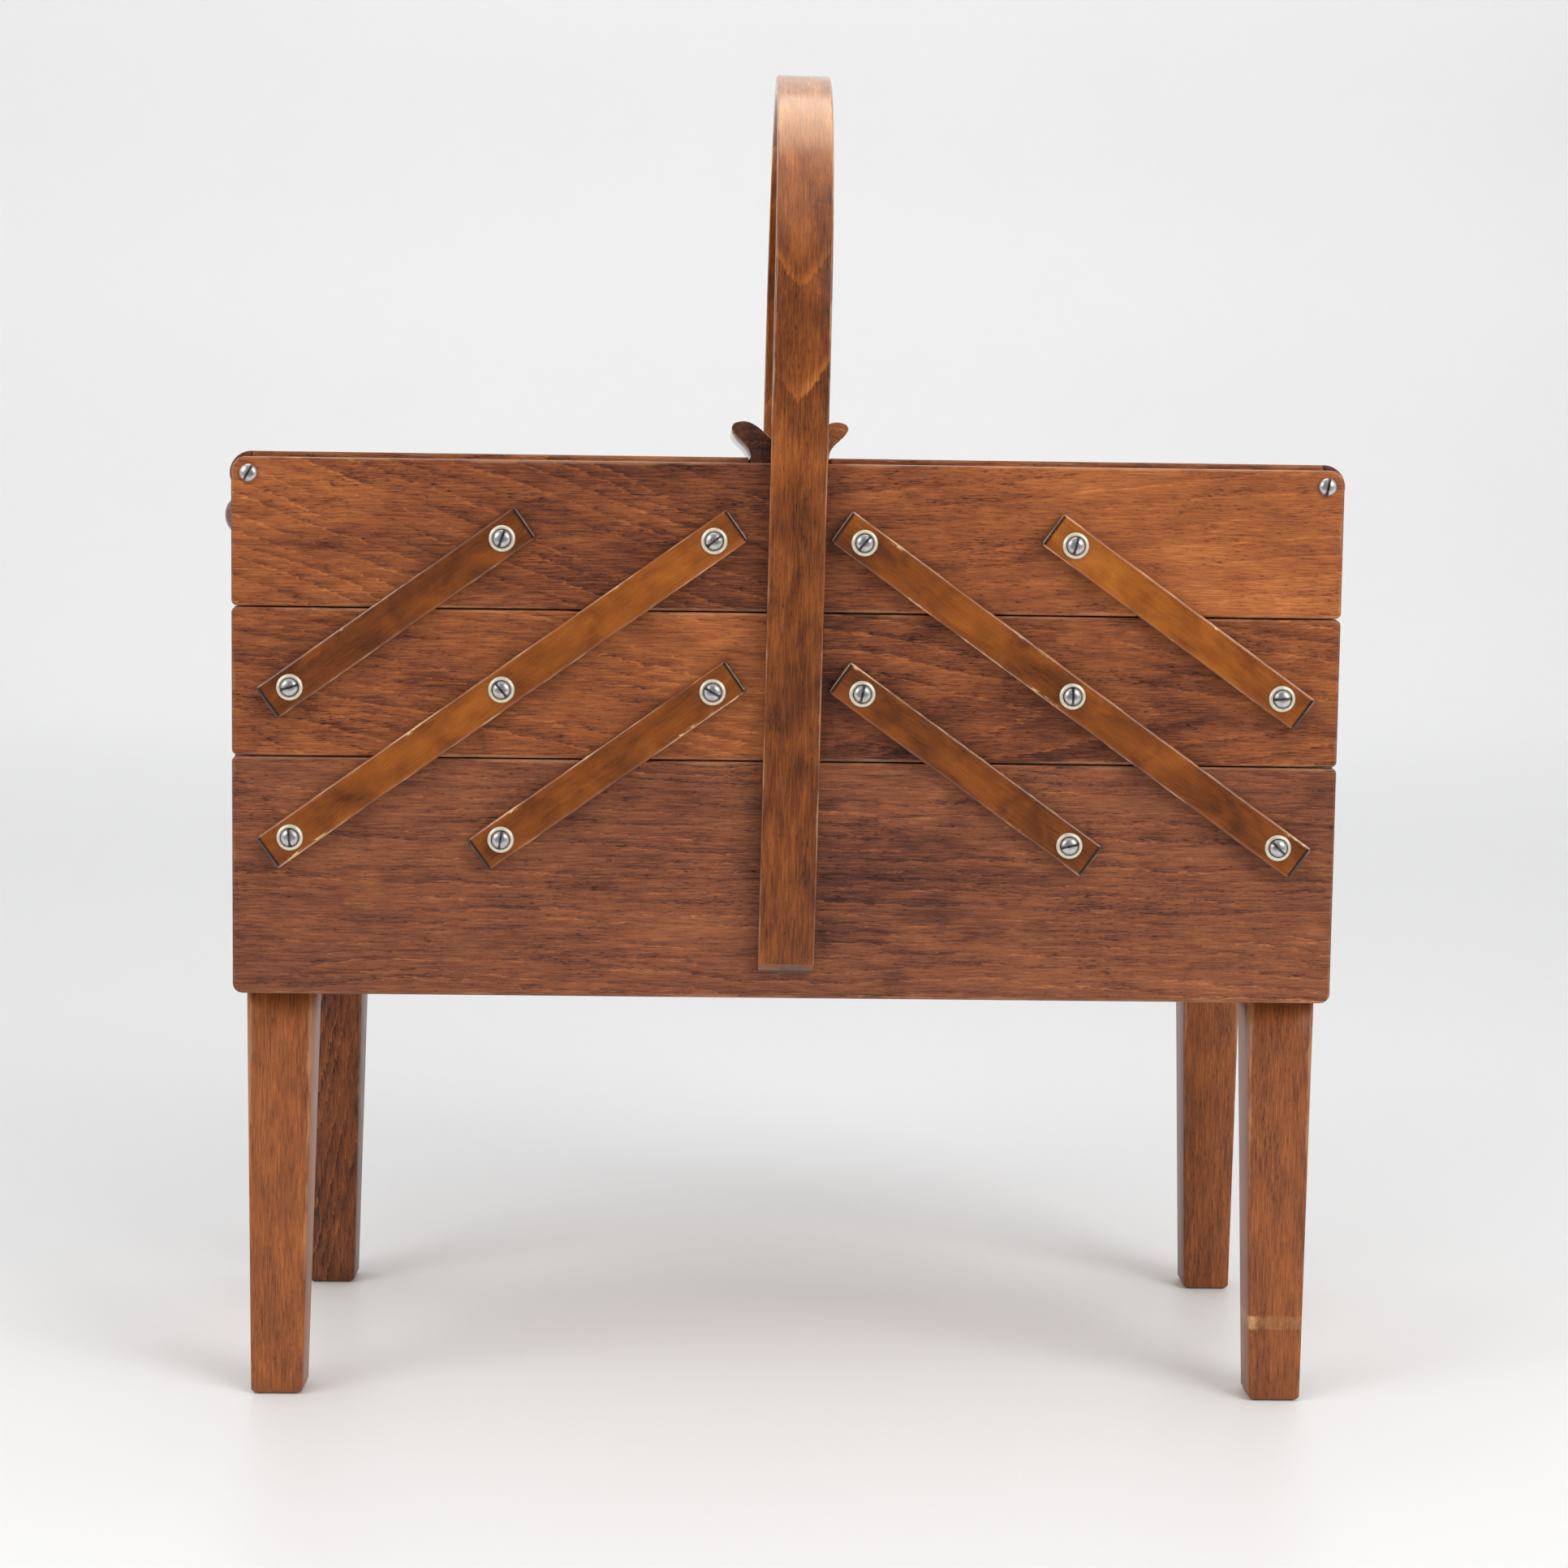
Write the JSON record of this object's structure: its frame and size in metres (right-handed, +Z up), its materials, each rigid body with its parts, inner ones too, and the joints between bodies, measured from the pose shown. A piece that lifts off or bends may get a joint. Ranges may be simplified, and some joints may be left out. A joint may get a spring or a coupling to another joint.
{
  "type": "sewing basket",
  "caption": "Wooden cantilever sewing box on four tapered legs, with swing-out trays on parallel arms, hinged lids and a bentwood hoop handle.",
  "frame": {"origin": "on the floor, in the middle of the box", "axes": "+X along the box to the right, +Y to the back, +Z up"},
  "size_m": [0.4808, 0.2494, 0.5466],
  "materials": {
    "tray_wood": "stained and satin varnished",
    "base_wood": "stained and satin varnished",
    "leg_wood": "stained and satin varnished",
    "hoop_wood": "stained and satin varnished bentwood",
    "arm_wood": "stained and gloss varnished",
    "plywood": "plain plywood, matt",
    "plated_steel": "nickel plated, bright"
  },
  "bodies": {
    "base": {"base_box": "base_wood", "leg_front_left": "leg_wood", "leg_back_left": "leg_wood", "leg_front_right": "leg_wood", "leg_back_right": "leg_wood", "hoop_handle": "hoop_wood", "left_front_long_screw_base": "plated_steel", "left_front_lower_screw_base": "plated_steel", "left_back_long_screw_base": "plated_steel", "left_back_lower_screw_base": "plated_steel", "right_front_long_screw_base": "plated_steel", "right_front_lower_screw_base": "plated_steel", "right_back_long_screw_base": "plated_steel", "right_back_lower_screw_base": "plated_steel"},
    "left_long_arms": {"left_front_long_arm": "arm_wood", "left_back_long_arm": "arm_wood"},
    "left_lower_arms": {"left_front_lower_arm": "arm_wood", "left_back_lower_arm": "arm_wood"},
    "left_upper_arms": {"left_front_upper_arm": "arm_wood", "left_back_upper_arm": "arm_wood"},
    "left_middle_drawer": {"left_middle_tray": "tray_wood", "left_middle_tray_bottom": "plywood", "left_front_long_screw_middle": "plated_steel", "left_front_upper_screw_middle": "plated_steel", "left_front_lower_screw_middle": "plated_steel", "left_back_long_screw_middle": "plated_steel", "left_back_upper_screw_middle": "plated_steel", "left_back_lower_screw_middle": "plated_steel"},
    "left_top_drawer": {"left_top_tray": "tray_wood", "left_top_tray_bottom": "plywood", "left_knob": "tray_wood", "left_front_long_screw_top": "plated_steel", "left_front_upper_screw_top": "plated_steel", "left_back_long_screw_top": "plated_steel", "left_back_upper_screw_top": "plated_steel"},
    "left_lid_leaf": {"left_lid": "tray_wood", "left_lid_pull": "tray_wood"},
    "right_long_arms": {"right_front_long_arm": "arm_wood", "right_back_long_arm": "arm_wood"},
    "right_lower_arms": {"right_front_lower_arm": "arm_wood", "right_back_lower_arm": "arm_wood"},
    "right_upper_arms": {"right_front_upper_arm": "arm_wood", "right_back_upper_arm": "arm_wood"},
    "right_middle_drawer": {"right_middle_tray": "tray_wood", "right_middle_tray_bottom": "plywood", "right_front_long_screw_middle": "plated_steel", "right_front_upper_screw_middle": "plated_steel", "right_front_lower_screw_middle": "plated_steel", "right_back_long_screw_middle": "plated_steel", "right_back_upper_screw_middle": "plated_steel", "right_back_lower_screw_middle": "plated_steel"},
    "right_top_drawer": {"right_top_tray": "tray_wood", "right_top_tray_bottom": "plywood", "right_knob": "tray_wood", "right_front_long_screw_top": "plated_steel", "right_front_upper_screw_top": "plated_steel", "right_back_long_screw_top": "plated_steel", "right_back_upper_screw_top": "plated_steel"},
    "right_lid_leaf": {"right_lid": "tray_wood", "right_lid_pull": "tray_wood"}
  },
  "joints": [
    {"name": "left_trays_open", "type": "hinge", "parent": "base", "child": "left_long_arms", "pos_m": [-0.1962, 0, 0.232], "axis": [0, -1, 0], "range_deg": [0, 108.9]},
    {"name": "left_lower_arms_turn", "type": "hinge", "parent": "base", "child": "left_lower_arms", "pos_m": [-0.1129, 0, 0.232], "axis": [0, -1, 0], "range_deg": [0, 109]},
    {"name": "left_middle_tray_level", "type": "hinge", "parent": "left_long_arms", "child": "left_middle_drawer", "pos_m": [-0.1129, 0, 0.2915], "axis": [0, -1, 0], "range_deg": [-109, 0]},
    {"name": "left_top_tray_level", "type": "hinge", "parent": "left_long_arms", "child": "left_top_drawer", "pos_m": [-0.0296, 0, 0.351], "axis": [0, -1, 0], "range_deg": [-109, 0]},
    {"name": "left_upper_arms_turn", "type": "hinge", "parent": "left_middle_drawer", "child": "left_upper_arms", "pos_m": [-0.1962, 0, 0.2915], "axis": [0, -1, 0], "range_deg": [0, 109]},
    {"name": "left_lid_open", "type": "hinge", "parent": "left_top_drawer", "child": "left_lid_leaf", "pos_m": [-0.213, 0, 0.3754], "axis": [0, -1, 0], "range_deg": [0, 170]},
    {"name": "right_trays_open", "type": "hinge", "parent": "base", "child": "right_long_arms", "pos_m": [0.1962, 0, 0.232], "axis": [0, 1, 0], "range_deg": [0, 108.9]},
    {"name": "right_lower_arms_turn", "type": "hinge", "parent": "base", "child": "right_lower_arms", "pos_m": [0.1129, 0, 0.232], "axis": [0, 1, 0], "range_deg": [0, 109]},
    {"name": "right_middle_tray_level", "type": "hinge", "parent": "right_long_arms", "child": "right_middle_drawer", "pos_m": [0.1129, 0, 0.2915], "axis": [0, 1, 0], "range_deg": [-109, 0]},
    {"name": "right_top_tray_level", "type": "hinge", "parent": "right_long_arms", "child": "right_top_drawer", "pos_m": [0.0296, 0, 0.351], "axis": [0, 1, 0], "range_deg": [-109, 0]},
    {"name": "right_upper_arms_turn", "type": "hinge", "parent": "right_middle_drawer", "child": "right_upper_arms", "pos_m": [0.1962, 0, 0.2915], "axis": [0, 1, 0], "range_deg": [0, 109]},
    {"name": "right_lid_open", "type": "hinge", "parent": "right_top_drawer", "child": "right_lid_leaf", "pos_m": [0.213, 0, 0.3754], "axis": [0, 1, 0], "range_deg": [0, 170]}
  ],
  "couplings": [
    {"joint": "left_lower_arms_turn", "follows": "left_trays_open", "ratio": 1},
    {"joint": "left_middle_tray_level", "follows": "left_trays_open", "ratio": -1},
    {"joint": "left_top_tray_level", "follows": "left_trays_open", "ratio": -1},
    {"joint": "left_upper_arms_turn", "follows": "left_trays_open", "ratio": 1},
    {"joint": "right_lower_arms_turn", "follows": "right_trays_open", "ratio": 1},
    {"joint": "right_middle_tray_level", "follows": "right_trays_open", "ratio": -1},
    {"joint": "right_top_tray_level", "follows": "right_trays_open", "ratio": -1},
    {"joint": "right_upper_arms_turn", "follows": "right_trays_open", "ratio": 1}
  ]
}
